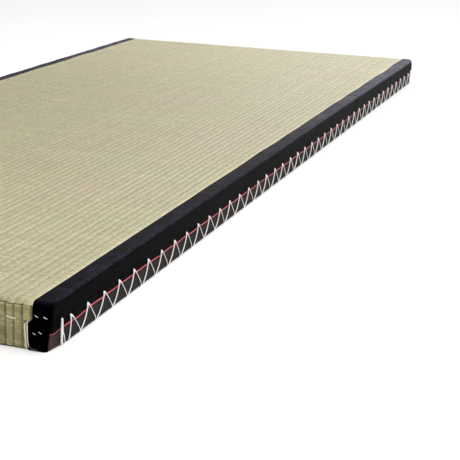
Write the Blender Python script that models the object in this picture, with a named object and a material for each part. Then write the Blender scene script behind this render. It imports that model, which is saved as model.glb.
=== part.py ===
"""A tatami mat lying flat: a straw board in a woven rush cover, bound with black cloth.

Metres, +Z up. The origin is the middle of the underside. X runs across the mat and Y along it.
The rush cover is woven in ribs that run along the mat and turn down over both ends. The black
cloth covers the long edges, is folded down over the ends, and stops above a red cord. Below the
cord shows the backing sheet, turned up from the underside. A white string laces each long edge
and another one holds the cover down along each end.
"""

import math

import bmesh
import bpy
from mathutils import Matrix

# Whole mat, over its strings
LENGTH = 2.000
WIDTH = 0.800
HEIGHT = 0.060
GAP = 0.0003

# Sheets and strings
BORDER_CLOTH = 0.0015
BACKING_CLOTH = 0.0012
CORD_D = 0.0015
LACE_D = 0.0015
END_STRING_D = 0.0012

# Outer skin of the black cloth, from which the other pieces are set in
SKIN_X = WIDTH / 2 - GAP - LACE_D
SKIN_Y = LENGTH / 2 - 0.0010
CORNER_R = 0.008
END_R = 0.009
FOOT_R = 0.004
ROUND_STEPS = 5
END_STEPS = 3

# Woven ribs of the rush cover, between the borders
BORDER_WIDTH = 0.0262
RIBS = 64
RIB_RISE = 0.0013
RIB_SHOULDER = 0.22

# Board inside the cloth
BOARD_INSET = BORDER_CLOTH + GAP
BOARD_Z = BACKING_CLOTH + GAP
BOARD_CHAMFER = 0.0012

# Red cord under the lower edge of the border, and the turned-up backing below it
CORD_Z = 0.0250
BORDER_LOW = CORD_Z + CORD_D / 2 + GAP
FLAP_TOP = CORD_Z - CORD_D / 2 - GAP
FLAP_INSET = 0.0002
BACKING_END = 0.004
FOLD_BOTTOM = 0.0005

# Lacing of the long edges: one leaning V upside down for each stitch
STITCHES = 42
FIRST_STITCH = 0.0500
APEX_Z = 0.0300
APEX_HALF = 0.0009
NEAR_FOOT = 0.35
FAR_FOOT = 0.46
NEAR_BOW = (0.36, 0.52)
FAR_BOW = (0.56, 0.48)
KNEE_Z = 0.0052
KNEE_SHARE = 0.9
FOOT_ANGLE = math.radians(38)

# String along the ends: holes in a row, and a doubled thread down from each one
END_HOLES = 16
HOLE_FROM_BORDER = 0.006
HOLE_Z = 0.036
ARCH_RISE = 0.0050
ARCH_POINTS = ((0.30, 1.0), (0.65, 0.9))
THREAD_SPREAD = 0.0017
THREAD_LEAN = 0.0022
THREAD_BOTTOM = 0.0012

BORDER_EDGE = WIDTH / 2 - BORDER_WIDTH
RIB_EDGE = BORDER_EDGE - GAP
SIDE_START = SKIN_X - CORNER_R


def clear_scene():
    for thing in list(bpy.data.objects):
        bpy.data.objects.remove(thing)


def finish(name, colour, roughness):
    material = bpy.data.materials.new(name)
    material.use_nodes = True
    shader = material.node_tree.nodes["Principled BSDF"]
    shader.inputs["Base Color"].default_value = (*colour, 1.0)
    shader.inputs["Roughness"].default_value = roughness
    shader.inputs["Metallic"].default_value = 0.0
    return material


def add_mesh(name, bm, material):
    mesh = bpy.data.meshes.new(name)
    bm.to_mesh(mesh)
    bm.free()
    mesh.materials.append(material)
    thing = bpy.data.objects.new(name, mesh)
    bpy.context.scene.collection.objects.link(thing)
    return thing


def add_string(name, route, diameter, material):
    """A square-sided string along a route of points."""
    curve = bpy.data.curves.new(name, "CURVE")
    curve.dimensions = "3D"
    curve.bevel_depth = diameter / 2
    curve.bevel_resolution = 0
    curve.use_fill_caps = True
    spline = curve.splines.new("POLY")
    spline.points.add(len(route) - 1)
    for point, place in zip(spline.points, route):
        point.co = (*place, 1.0)
    curve.materials.append(material)
    thing = bpy.data.objects.new(name, curve)
    bpy.context.scene.collection.objects.link(thing)
    return thing


def fall(x, inset, radius):
    """How far an edge rounded to this radius, inset from the skin, has dropped at x."""
    inner = radius - inset
    reach = max(0.0, abs(x) - (SKIN_X - radius))
    return inner - math.sqrt(max(0.0, inner**2 - reach**2))


def quarter(y, z, radius, steps):
    """Points of a quarter round at the near top edge, from its end face to its top face."""
    turns = [math.pi - math.pi / 2 * step / steps for step in range(steps + 1)]
    return [(y + radius * math.cos(turn), z + radius * math.sin(turn)) for turn in turns]


def both_ends(near):
    """An outline's near half, followed by its mirror image at the far end."""
    return near + [(-y, z) for y, z in reversed(near)]


def wrapped_grid(stations, outline):
    """A grid of faces with a column at each station, each column following outline(station)."""
    rows = len(outline(*stations[0]))
    bm = bmesh.new()
    bmesh.ops.create_grid(bm, x_segments=len(stations) - 1, y_segments=rows - 1, size=1.0)
    places = [(station[0], outline(*station)) for station in stations]
    for vert in bm.verts:
        column = round((vert.co.x + 1) / 2 * (len(stations) - 1))
        row = round((vert.co.y + 1) / 2 * (rows - 1))
        x, points = places[column]
        vert.co = (x, *points[row])
    return bm


def side_stations(inset):
    """X of the columns that round the long edge, on the positive side."""
    radius = CORNER_R - inset
    turns = [math.pi / 2 * step / ROUND_STEPS for step in range(ROUND_STEPS + 1)]
    return [SIDE_START + radius * math.sin(turn) for turn in turns]


def mat_outline(x, relief):
    """The closed outline of the covered board at x, with the rib raised by relief."""
    drop = fall(x, BOARD_INSET, CORNER_R)
    end = SKIN_Y - BOARD_INSET - drop + relief
    top = HEIGHT - BOARD_INSET - drop + relief
    low = BOARD_Z + fall(x, BOARD_INSET, FOOT_R)
    radius = END_R - BOARD_INSET + relief
    near = [(-(end - BOARD_CHAMFER), low), (-end, low + BOARD_CHAMFER)]
    near += quarter(-(end - radius), top - radius, radius, END_STEPS)
    points = both_ends(near)
    return points + points[:1]


def rib_stations():
    """A groove and two shoulders for each rib, from border to border."""
    pitch = 2 * RIB_EDGE / RIBS
    stations = []
    for rib in range(RIBS):
        groove = -RIB_EDGE + rib * pitch
        stations.append((groove, 0.0))
        stations.append((groove + RIB_SHOULDER * pitch, RIB_RISE))
        stations.append((groove + (1 - RIB_SHOULDER) * pitch, RIB_RISE))
    return stations + [(RIB_EDGE, 0.0)]


def rush_mat(material):
    right = [(x, 0.0) for x in side_stations(BOARD_INSET)]
    left = [(-x, 0.0) for x, relief in reversed(right)]
    bm = wrapped_grid(left + rib_stations() + right, mat_outline)
    bmesh.ops.remove_doubles(bm, verts=bm.verts, dist=1e-6)
    bmesh.ops.holes_fill(bm, edges=[edge for edge in bm.edges if edge.is_boundary], sides=0)
    bmesh.ops.recalc_face_normals(bm, faces=bm.faces)
    return add_mesh("rush_mat", bm, material)


def border_outline(x):
    """The black cloth at x: up the near end, along the top and down the far end."""
    drop = fall(x, 0.0, CORNER_R)
    end = SKIN_Y - drop
    top = HEIGHT - drop
    near = [(-end, FOLD_BOTTOM), (-end, BORDER_LOW)]
    return both_ends(near + quarter(-(end - END_R), top - END_R, END_R, END_STEPS))


def border(name, side, material):
    """The cloth of one long edge, with its ends folded down, thickened inwards."""
    stations = [(BORDER_EDGE,)] + [(x,) for x in side_stations(0.0)]
    bm = wrapped_grid(stations, border_outline)
    rim = [vert for vert in bm.verts if vert.co.x > SKIN_X - 1e-6 and vert.co.z > BORDER_LOW - 1e-6]
    rim_edges = [edge for edge in bm.edges if all(vert in rim for vert in edge.verts)]
    bmesh.ops.contextual_create(bm, geom=rim + rim_edges)
    bmesh.ops.scale(bm, vec=(side, 1, 1), verts=bm.verts)
    bmesh.ops.recalc_face_normals(bm, faces=bm.faces)
    if max(bm.faces, key=lambda face: face.calc_center_median().z).normal.z < 0:
        bmesh.ops.reverse_faces(bm, faces=bm.faces)
    thing = add_mesh(name, bm, material)
    thickness = thing.modifiers.new("cloth", "SOLIDIFY")
    thickness.thickness = BORDER_CLOTH
    thickness.offset = -1.0
    thickness.use_even_offset = True
    return thing


def backing_profile():
    """X and Z of the backing sheet's outer face on the positive side, from its middle to its top."""
    reach = SKIN_X - FLAP_INSET - FOOT_R
    turns = [math.pi / 2 * step / 4 for step in range(5)]
    bend = [(reach + FOOT_R * math.sin(turn), FOOT_R * (1 - math.cos(turn))) for turn in turns]
    return bend + [(SKIN_X - FLAP_INSET, FLAP_TOP)]


def backing_sheet(material):
    """The sheet under the board, turned up along both long edges."""
    right = backing_profile()
    profile = [(-x, z) for x, z in reversed(right)] + right
    end = SKIN_Y - BACKING_END
    flap_end = SKIN_Y - CORNER_R - GAP
    rows = [-end, -flap_end, flap_end, end]
    bm = bmesh.new()
    bmesh.ops.create_grid(bm, x_segments=len(profile) - 1, y_segments=len(rows) - 1, size=1.0)
    for vert in bm.verts:
        x, z = profile[round((vert.co.x + 1) / 2 * (len(profile) - 1))]
        vert.co = (x, rows[round((vert.co.y + 1) / 2 * (len(rows) - 1))], z)
    flap_tips = []
    for face in bm.faces:
        centre = face.calc_center_median()
        if centre.z > 1e-6 and abs(centre.y) > flap_end:
            flap_tips.append(face)
    bmesh.ops.delete(bm, geom=flap_tips, context="FACES")
    bmesh.ops.recalc_face_normals(bm, faces=bm.faces)
    if min(bm.faces, key=lambda face: face.calc_center_median().z).normal.z > 0:
        bmesh.ops.reverse_faces(bm, faces=bm.faces)
    thing = add_mesh("backing_sheet", bm, material)
    thickness = thing.modifiers.new("cloth", "SOLIDIFY")
    thickness.thickness = BACKING_CLOTH
    thickness.offset = -1.0
    thickness.use_even_offset = True
    return thing


def red_cord(name, side, material):
    """A thin cord along the lower edge of the border."""
    x = side * (SKIN_X - CORD_D / 2)
    end = SKIN_Y - CORNER_R - GAP
    bm = bmesh.new()
    ring = bmesh.ops.create_circle(bm, cap_ends=True, segments=8, radius=CORD_D / 2)
    upright = Matrix.Rotation(math.pi / 2, 3, "X")
    bmesh.ops.rotate(bm, cent=(0, 0, 0), verts=ring["verts"], matrix=upright)
    bmesh.ops.translate(bm, vec=(x, -end, CORD_Z), verts=ring["verts"])
    made = bmesh.ops.extrude_face_region(bm, geom=list(bm.faces), use_keep_orig=True)
    moved = [item for item in made["geom"] if isinstance(item, bmesh.types.BMVert)]
    bmesh.ops.translate(bm, vec=(0, 2 * end, 0), verts=moved)
    bmesh.ops.recalc_face_normals(bm, faces=bm.faces)
    return add_mesh(name, bm, material)


def lacing_leg(reach, bow, apart):
    """Y and Z from foot to hole; the bow is a share of the reach and of the hole's height."""
    return [
        (reach + apart, 0.0),
        (reach * KNEE_SHARE + apart, KNEE_Z),
        (reach * bow[0] + apart, APEX_Z * bow[1]),
        (apart, APEX_Z),
    ]


def side_lacing(name, side, material):
    """One string that goes up to a hole above the red cord and down again, stitch after stitch."""
    last = LENGTH / 2 - FIRST_STITCH
    pitch = 2 * last / (STITCHES - 1)
    out = SKIN_X + GAP + LACE_D / 2
    round_reach = FOOT_R + GAP + LACE_D / 2
    foot_x = SKIN_X - FOOT_R + round_reach * math.cos(FOOT_ANGLE)
    foot_z = FOOT_R - round_reach * math.sin(FOOT_ANGLE)
    route = []
    for stitch in range(STITCHES):
        hole = -last + stitch * pitch
        near_leg = lacing_leg(-NEAR_FOOT * pitch, NEAR_BOW, -APEX_HALF)
        far_leg = lacing_leg(FAR_FOOT * pitch, FAR_BOW, APEX_HALF)
        for y, z in near_leg + far_leg[::-1]:
            x = out if z > foot_z else foot_x
            route.append((side * x, hole + y, max(z, foot_z)))
    return add_string(name, route, LACE_D, material)


def end_stitching(name, side, material):
    """The string along one end: an arch from hole to hole, and a doubled thread down from each."""
    y = side * (SKIN_Y - BOARD_INSET + RIB_RISE + GAP + END_STRING_D / 2)
    first = -(RIB_EDGE - HOLE_FROM_BORDER)
    pitch = -2 * first / (END_HOLES - 1)
    route = []
    for hole in range(END_HOLES):
        x = first + hole * pitch
        half = THREAD_SPREAD / 2
        lean = THREAD_LEAN if 0 < hole < END_HOLES - 1 else 0.0
        route.append((x - half, y, HOLE_Z))
        route.append((x - half + lean, y, THREAD_BOTTOM))
        route.append((x + half + lean, y, THREAD_BOTTOM))
        route.append((x + half, y, HOLE_Z))
        if hole < END_HOLES - 1:
            for share, rise in ARCH_POINTS:
                route.append((x + share * pitch, y, HOLE_Z + rise * ARCH_RISE))
    return add_string(name, route, END_STRING_D, material)


def main():
    clear_scene()
    rush = finish("woven_rush", (0.56, 0.52, 0.33), 0.6)
    black = finish("black_cloth", (0.012, 0.012, 0.016), 0.45)
    gauze = finish("backing_cloth", (0.07, 0.065, 0.06), 0.85)
    red = finish("red_cord", (0.55, 0.06, 0.08), 0.6)
    white = finish("white_string", (0.80, 0.78, 0.72), 0.7)
    rush_mat(rush)
    backing_sheet(gauze)
    for word, side in (("right", 1), ("left", -1)):
        border(f"border_{word}", side, black)
        red_cord(f"red_cord_{word}", side, red)
        side_lacing(f"side_lacing_{word}", side, white)
    for word, side in (("near", -1), ("far", 1)):
        end_stitching(f"end_stitching_{word}", side, white)


main()
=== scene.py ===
# %% [markdown]
# # A tatami mat
#
# A tatami is a flat board of pressed straw in a cover woven from rushes. This one is bound along
# its two long edges with black cloth. Under the cloth's lower edge runs a red cord, and a white
# string laces the whole edge in upside-down Vs. The cover is turned down over both ends, where a
# string holds it. The lesson builds each of these as its own piece, round solids that already
# have the right size.

import math
import random

import bmesh
import bpy
from mathutils import Matrix, Vector, noise


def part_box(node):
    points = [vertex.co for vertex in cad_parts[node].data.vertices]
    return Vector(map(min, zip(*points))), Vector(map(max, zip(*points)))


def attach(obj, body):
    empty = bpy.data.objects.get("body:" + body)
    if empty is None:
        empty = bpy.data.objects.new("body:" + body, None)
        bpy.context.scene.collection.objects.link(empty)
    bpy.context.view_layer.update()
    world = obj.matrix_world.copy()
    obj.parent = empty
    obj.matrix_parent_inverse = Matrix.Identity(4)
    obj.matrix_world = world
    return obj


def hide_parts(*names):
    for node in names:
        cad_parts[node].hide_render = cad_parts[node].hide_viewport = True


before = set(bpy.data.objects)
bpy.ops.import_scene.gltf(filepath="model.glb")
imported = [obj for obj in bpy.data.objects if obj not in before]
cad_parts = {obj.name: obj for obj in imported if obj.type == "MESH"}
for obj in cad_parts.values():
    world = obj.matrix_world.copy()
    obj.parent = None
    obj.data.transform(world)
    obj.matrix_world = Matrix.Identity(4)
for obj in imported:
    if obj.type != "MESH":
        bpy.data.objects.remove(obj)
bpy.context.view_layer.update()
BODY = "root"
print("solids:", ", ".join(sorted(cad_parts)))

# %% [markdown]
# ## Sizes
#
# Nothing is measured twice. The outer skin of the black cloth, the edge of the border and the
# height of the red cord are read from the solids. Only what the solids don't say is given here.

# %% Sizes read from the solids
skin_low, skin_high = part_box("border_right")
SKIN_X, SKIN_Y, TOP = skin_high
BORDER_EDGE = skin_low.x

rush_low, rush_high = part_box("rush_mat")
BOARD_SIDE = rush_high.x
RIB_CREST = rush_high.z
BOARD_LOW = rush_low.z

cord_low, cord_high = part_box("red_cord_right")
CORD_D = cord_high.z - cord_low.z
CORD_Z = (cord_high.z + cord_low.z) / 2

LACING_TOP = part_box("side_lacing_right")[1].z
print(f"outside {SKIN_X:.4f} x {SKIN_Y:.4f}, top {TOP:.4f}, border from {BORDER_EDGE:.4f}")
print(f"red cord at {CORD_Z:.4f}, lacing up to {LACING_TOP:.4f}")

# %% Sizes that a maker would choose
GAP = 0.0003
CORNER_R = 0.008
END_R = 0.009
FOOT_R = 0.004
BORDER_CLOTH = 0.0015
BACKING_CLOTH = 0.0012
RIBS = 64
RIB_RISE = 0.0013
RIB_EDGE = BORDER_EDGE - GAP
RIB_PITCH = 2 * RIB_EDGE / RIBS
SIDE_START = SKIN_X - CORNER_R
FOLD_TURN = math.pi / 2 * 4 / 7
FOLD_SIDE = SIDE_START + CORNER_R * math.sin(FOLD_TURN)
BOARD_INSET = SKIN_X - BOARD_SIDE
GROOVE_TOP = RIB_CREST - RIB_RISE
GROOVE_END = SKIN_Y - BOARD_INSET
BORDER_LOW = CORD_Z + CORD_D / 2 + GAP
FLAP_TOP = CORD_Z - CORD_D / 2 - GAP
SIDES = (("right", 1), ("left", -1))
ENDS = (("near", -1), ("far", 1))
CORNERS = [(f"{end_word}_{word}", side, end) for end_word, end in ENDS for word, side in SIDES]
print(f"{RIBS} ribs, {RIB_PITCH * 1000:.1f} mm apart")

# %% [markdown]
# Two small tools come back all through the lesson. Handwork is smooth and a little uneven: ease
# makes a soft step, and wave makes things wander. Two small distances say when corners of a mesh
# count as touching, and when they are merged into one.

# %% Soft steps and unevenness
TOUCH = 1e-5
MERGED = 1e-6


def ease(value, low, high):
    """0 below low, 1 above high, and a smooth rise between them."""
    share = min(1.0, max(0.0, (value - low) / (high - low)))
    return share * share * (3 - 2 * share)


def wave(x, y, size, seed):
    """Smooth unevenness from -1 to 1, with lumps about size metres across."""
    return noise.noise(Vector((x / size, y / size, seed)))


print("a quarter of the way, ease has risen to", ease(0.25, 0.0, 1.0))

# %% [markdown]
# ## Camera
#
# The view is the photograph's: from the near right corner, a little above the mat, with a long
# lens. The camera is turned about Z, dipped towards the floor and tilted a touch to one side.

# %% Camera
CAMERA_PLACE = (1.0298, -2.2028, 0.5540)
CAMERA_TURN = 0.3352
CAMERA_DIP = 0.2896
CAMERA_TILT = -0.0247
FOCAL = 99.01
SENSOR = 36.0


def add_camera():
    lens = bpy.data.cameras.new("camera")
    lens.lens = FOCAL
    lens.sensor_width = SENSOR
    thing = bpy.data.objects.new("camera", lens)
    bpy.context.scene.collection.objects.link(thing)
    turn = Matrix.Rotation(CAMERA_TURN, 4, "Z")
    dip = Matrix.Rotation(-CAMERA_DIP, 4, "X")
    tilt = Matrix.Rotation(CAMERA_TILT, 4, "Y")
    upright = Matrix.Rotation(math.pi / 2, 4, "X")
    thing.matrix_world = Matrix.Translation(CAMERA_PLACE) @ turn @ dip @ tilt @ upright
    bpy.context.scene.camera = thing


add_camera()
print("camera", CAMERA_PLACE)

# %% [markdown]
# ## Finishes
#
# A finish is a tree of shader nodes. The same few kinds of node come back in all of them, so a
# small class holds one short method for each kind, and a finish reads like a recipe.


# %% A bench for building finishes
def seen(red, green, blue):
    """A colour as a screen shows it, 0 to 255, as the linear values that a shader takes."""
    return tuple((value / 255) ** 2.2 for value in (red, green, blue)) + (1.0,)


class Finish:
    """The nodes of one material."""

    def __init__(self, name, roughness):
        self.material = bpy.data.materials.new(name)
        self.material.use_nodes = True
        self.tree = self.material.node_tree
        self.shader = self.tree.nodes["Principled BSDF"]
        self.shader.inputs["Roughness"].default_value = roughness

    def node(self, kind, **settings):
        made = self.tree.nodes.new(kind)
        for key, value in settings.items():
            setattr(made, key, value)
        return made

    def feed(self, value, socket):
        if isinstance(value, bpy.types.NodeSocket):
            self.tree.links.new(value, socket)
        else:
            socket.default_value = value

    def maths(self, operation, *values):
        made = self.node("ShaderNodeMath", operation=operation)
        for value, socket in zip(values, made.inputs):
            self.feed(value, socket)
        return made.outputs[0]

    def times(self, first, *others):
        for other in others:
            first = self.maths("MULTIPLY", first, other)
        return first

    def plus(self, one, other):
        return self.maths("ADD", one, other)

    def minus(self, one, other):
        return self.maths("SUBTRACT", one, other)

    def unsigned(self, value):
        return self.maths("ABSOLUTE", value)

    def ripple(self, value, pitch):
        """A sine wave from -1 to 1 that repeats every pitch."""
        return self.maths("SINE", self.times(value, 2 * math.pi / pitch))

    def swing(self, value, size):
        """A factor that swings evenly about 1 by the size, as the value goes from 0 to 1."""
        return self.plus(1.0, self.times(self.minus(value, 0.5), 2.0, size))

    def parts_of(self, vector):
        made = self.node("ShaderNodeSeparateXYZ")
        self.feed(vector, made.inputs[0])
        return made.outputs

    def vector(self, *parts):
        made = self.node("ShaderNodeCombineXYZ")
        for value, socket in zip(parts, made.inputs):
            self.feed(value, socket)
        return made.outputs[0]

    def uv(self, name):
        made = self.node("ShaderNodeUVMap", uv_map=name)
        return self.parts_of(made.outputs[0])

    def place(self):
        return self.node("ShaderNodeTexCoord").outputs["Object"]

    def attribute(self, name):
        return self.node("ShaderNodeAttribute", attribute_name=name).outputs["Fac"]

    def noise(self, place, scale, detail=2.0, rough=0.5):
        made = self.node("ShaderNodeTexNoise")
        self.feed(place, made.inputs["Vector"])
        made.inputs["Scale"].default_value = scale
        made.inputs["Detail"].default_value = detail
        made.inputs["Roughness"].default_value = rough
        return made.outputs["Fac"]

    def dice(self, place):
        made = self.node("ShaderNodeTexWhiteNoise", noise_dimensions="3D")
        self.feed(place, made.inputs["Vector"])
        return made.outputs["Value"]

    def fit(self, value, low, high, new_low=0.0, new_high=1.0):
        """The value carried from one range to another, with soft ends."""
        made = self.node("ShaderNodeMapRange", interpolation_type="SMOOTHSTEP")
        for part, socket in zip((value, low, high, new_low, new_high), made.inputs):
            self.feed(part, socket)
        return made.outputs[0]

    def mix(self, share, one, other, blend="MIX"):
        made = self.node("ShaderNodeMix", data_type="RGBA", blend_type=blend, clamp_factor=True)
        colours = [socket for socket in made.inputs if socket.type == "RGBA"]
        self.feed(share, made.inputs[0])
        self.feed(one, colours[0])
        self.feed(other, colours[1])
        return [socket for socket in made.outputs if socket.type == "RGBA"][0]

    def bump(self, height, depth, below=None):
        made = self.node("ShaderNodeBump")
        made.inputs["Distance"].default_value = depth
        self.feed(height, made.inputs["Height"])
        if below is not None:
            self.feed(below, made.inputs["Normal"])
        return made.outputs[0]

    def set(self, **sockets):
        for name, value in sockets.items():
            self.feed(value, self.shader.inputs[name.replace("_", " ")])
        return self.material


# %% [markdown]
# ### Where the end string runs
#
# A string goes in and out of sixteen holes along each end. It presses the rushes in, and the finish
# paints shade there and in each hole, so both the cover and its finish need to know where it runs.

# %% Where the end string runs
END_HOLES = 16
HOLE_Z = 0.0332
HOLE_FROM_BORDER = 0.0080
ARCH_RISE = 0.0037
ARCH_POINTS = ((0.09, 0.05), (0.24, 0.6), (0.40, 1.0), (0.60, 0.92), (0.79, 0.5), (0.92, 0.05))
THREAD_SPREAD = 0.0016
THREAD_LEAN = 0.0035
HOLE_PITCH = 2 * (RIB_EDGE - HOLE_FROM_BORDER) / (END_HOLES - 1)
HOLES = [-(RIB_EDGE - HOLE_FROM_BORDER) + hole * HOLE_PITCH for hole in range(END_HOLES)]
STRING_REACH = 0.0022
HOLE_REACH = 0.0030
ARCH_PRESS = 0.45
THREAD_PRESS = 0.35


def arch_height(x):
    """How high the end string runs at x: up from each hole and down to the next."""
    share = (x - HOLES[0]) / HOLE_PITCH
    if not 0 <= share <= END_HOLES - 1:
        return HOLE_Z
    share -= int(share)
    knots = ((0.0, 0.0),) + ARCH_POINTS + ((1.0, 0.0),)
    for (s0, r0), (s1, r1) in zip(knots, knots[1:]):
        if s0 <= share <= s1:
            return HOLE_Z + ARCH_RISE * (r0 + (r1 - r0) * ease(share, s0, s1))
    return HOLE_Z


def pressed_by_string(x, z):
    """How deep the cover is pressed at an end, from 0 to 1: in a hole, by an arch or by a thread."""
    hole_x = min(HOLES, key=lambda hole: abs(hole - x))
    hole = math.exp(-((x - hole_x) ** 2 + (z - HOLE_Z) ** 2) / HOLE_REACH**2)
    arch = 0.0
    if HOLES[0] < x < HOLES[-1]:
        arch = ARCH_PRESS * math.exp(-(((z - arch_height(x)) / STRING_REACH) ** 2))
    thread = 0.0
    if z < HOLE_Z:
        lean = THREAD_LEAN * (HOLE_Z - z) / HOLE_Z
        thread = THREAD_PRESS * math.exp(-(((x - hole_x - lean) / STRING_REACH) ** 2))
    return max(arch, hole, thread)


print(f"{END_HOLES} holes at each end, {HOLE_PITCH * 1000:.1f} mm apart")

# %% [markdown]
# ### Woven rush
#
# Rushes run across the mat, over and under warp threads that run along it. Between two warps the
# stems show as a rib: a ladder of short strands lying side by side. The strands of one rib fall
# between those of the next, and each stem keeps its own colour right across the mat, some greener,
# some browner. The map on the cover counts ribs one way and metres of cover the other, so the
# shader can find the rib and the stem for any point, however the cover wanders.
#
# On the turned-down ends the same weave looks different: the whole end is painted darker than the
# top as painted shade, each rib has a painted shade line and highlight at the fold's crease, ribs
# are painted as lit from one side, the grooves and holes have deeper painted shade, and the rushes
# are more mixed in tone. On the top, too, painted shade lies in the grooves and between the stems,
# and painted sheen makes the mat lighter towards its far end.

# %% Where a point lies in the weave
STEM_PITCH = 0.0018
CREASE_Z = TOP - 0.0070
CREASE_WANDER = 0.0030


class Weave:
    """A point's rib and stem, where it is across them, and how far above the end's crease it is."""

    def __init__(self, f):
        self.ribs, self.metres, _ = f.uv("ribs")
        self.x, self.y, self.z = f.parts_of(f.place())
        self.rib = f.maths("FLOOR", self.ribs)
        self.across = f.maths("FRACT", self.ribs)
        self.odd = f.maths("MODULO", self.rib, 2.0)
        drift = f.noise(f.vector(f.times(self.ribs, 0.35), f.times(self.metres, 20.0), 0.0), 1.0)
        along = f.plus(f.maths("DIVIDE", self.metres, STEM_PITCH), f.times(self.odd, 0.5))
        along = f.plus(along, f.times(drift, 2.0))
        self.stem = f.maths("FLOOR", along)
        self.roundness = f.maths("SINE", f.times(f.maths("FRACT", along), math.pi))
        self.strand = f.dice(f.vector(self.rib, self.stem, 1.0))
        wander = f.times(f.dice(f.vector(self.rib, 9.0, 2.0)), CREASE_WANDER)
        self.above = f.minus(self.z, f.plus(CREASE_Z, wander))
        self.on_end = f.fit(self.above, 0.0006, -0.0006)
        back = f.minus(0.5, f.times(self.on_end, 0.11))
        self.from_back = f.unsigned(f.minus(self.across, back))


print(f"a stem every {STEM_PITCH * 1000:.1f} mm")

# %% Colours of the rushes
STRAW = seen(189, 180, 143)
GREEN_RUSH = seen(177, 172, 133)
BROWN_RUSH = seen(188, 170, 141)
END_TINT = seen(255, 248, 216)


def rush_colour(f, w):
    """Straw, with some stems greener and some patches browner, and a warmer tint on the ends."""
    own = f.noise(f.vector(f.times(w.ribs, 0.05), f.times(w.stem, 7.31), 4.0), 1.0, 1.0)
    patches = f.noise(f.place(), 5.0, 3.0)
    colour = f.mix(f.fit(own, 0.35, 0.65), STRAW, GREEN_RUSH)
    colour = f.mix(f.fit(patches, 0.45, 0.75, 0.0, 0.55), colour, BROWN_RUSH)
    return f.mix(w.on_end, colour, END_TINT, "MULTIPLY")


print("straw:", [round(part, 3) for part in STRAW[:3]])


# %% Light and dark within a rib: tone, painted shade and a painted highlight
def strand_shade(f, w, bundle):
    """Light and dark by strand, bundle, band and rib, thin dark dashes on the ends, and painted shade
    between stems.
    """
    band = f.noise(f.vector(f.times(w.x, 4.0), f.times(w.metres, 90.0), 0.0), 1.0, 3.0)
    row = f.plus(f.times(w.rib, 5.1), w.across)
    thin = f.noise(f.vector(row, f.times(w.metres, 260.0), 9.0), 1.0, 1.0)
    return f.times(
        f.swing(w.strand, f.plus(0.07, f.times(w.on_end, 0.04))),
        f.swing(f.fit(bundle, 0.32, 0.68), 0.14),
        f.swing(f.fit(band, 0.32, 0.68), f.plus(0.05, f.times(w.on_end, 0.15))),
        f.swing(f.dice(f.vector(w.rib, 3.0, 5.0)), 0.03),
        f.swing(w.odd, 0.025),
        f.fit(thin, 0.56, 0.68, 1.0, f.minus(1.0, f.times(w.on_end, 0.34))),
        f.fit(w.roundness, 0.0, 0.6, f.minus(0.84, f.times(w.on_end, 0.16)), 1.0),
    )


def groove_shade(f, w):
    """Painted shade in the broken groove beside each rib, and a painted highlight on the last rushes at
    a border.
    """
    jagged = f.plus(w.from_back, f.times(f.minus(w.strand, 0.5), 0.10))
    broken = f.noise(f.vector(f.times(w.rib, 7.7), f.times(w.metres, 55.0), 6.0), 1.0, 2.0)
    dark = f.minus(f.fit(broken, 0.36, 0.66, 0.74, 0.97), f.times(w.on_end, 0.42))
    groove = f.fit(jagged, f.minus(0.30, f.times(w.on_end, 0.04)), 0.52, 1.0, dark)
    border_highlight = f.fit(f.unsigned(w.x), RIB_EDGE - 0.0030, RIB_EDGE - 0.0012)
    border_highlight = f.times(border_highlight, f.minus(1.0, w.on_end))
    return f.times(f.maths("MAXIMUM", groove, border_highlight), f.plus(1.0, f.times(border_highlight, 0.22)))


# %% Painted light and shade on the ends, and along the mat
# The ends are painted darker than the top, as painted shade.
END_SHADE = 0.69


def end_shade(f, w):
    """Painted light and shade on the turned-down ends: a shade line and a highlight at the fold's
    crease, ribs painted as lit from one side, and painted shade in the holes.
    """
    strength = f.dice(f.vector(w.rib, 5.0, 8.0))
    # A painted shade line just below the fold's crease, and a painted highlight a little lower.
    from_crease_shade = f.unsigned(f.plus(w.above, 0.0007))
    dark = f.fit(from_crease_shade, 0.0003, 0.0010, f.fit(strength, 0.0, 1.0, 0.30, 0.65), 1.0)
    from_crease_highlight = f.unsigned(f.plus(w.above, 0.0024))
    light = f.fit(from_crease_highlight, 0.0004, 0.0012, f.fit(strength, 0.0, 1.0, 2.0, 1.2), 1.0)
    lit = f.times(f.fit(w.across, 0.0, 0.30, 1.30, 1.0), f.fit(w.across, 0.4, 1.0, 1.0, 0.84))
    # Painted shade in each hole of the end string.
    hole_x = f.maths("SNAP", f.plus(w.x, HOLES[-1] + HOLE_PITCH / 2), HOLE_PITCH)
    beside = f.minus(f.plus(w.x, HOLES[-1] + 0.0008), hole_x)
    over = f.times(f.minus(w.z, HOLE_Z + 0.0008), 1.9)
    away = f.node("ShaderNodeVectorMath", operation="LENGTH")
    f.feed(f.vector(beside, over, 0.0), away.inputs[0])
    hole = f.fit(away.outputs["Value"], 0.0020, 0.0032, 0.05, 1.0)
    end_light_and_shade = f.times(dark, light, lit, hole, END_SHADE)
    return f.plus(1.0, f.times(w.on_end, f.minus(end_light_and_shade, 1.0)))


def place_shade(f, w):
    """A lighter last rib, painted sheen that makes the mat darker in its middle and lighter towards its
    far end, and painted shade where the string presses the rushes.
    """
    last_rib = RIB_EDGE - RIB_PITCH
    return f.times(
        f.fit(f.unsigned(w.x), last_rib - 0.05 * RIB_PITCH, last_rib + 0.05 * RIB_PITCH, 1.0, 1.05),
        # Painted sheen: darker towards the middle of the mat and lighter towards its far end.
        f.fit(w.y, -0.9 * SKIN_Y, -0.1 * SKIN_Y, 1.0, 0.925),
        f.fit(w.y, 0.1 * SKIN_Y, 0.95 * SKIN_Y, 1.0, 1.19),
        # Painted shade where the end string presses the rushes in.
        f.fit(f.attribute("pressed"), 0.1, 0.6, 1.0, 0.62),
    )


print(f"the ends are {END_SHADE:.2f} as light as the top")

# %% Woven rush
STEM_DEPTH = 0.00025
BUNDLE_DEPTH = 0.0005


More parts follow.
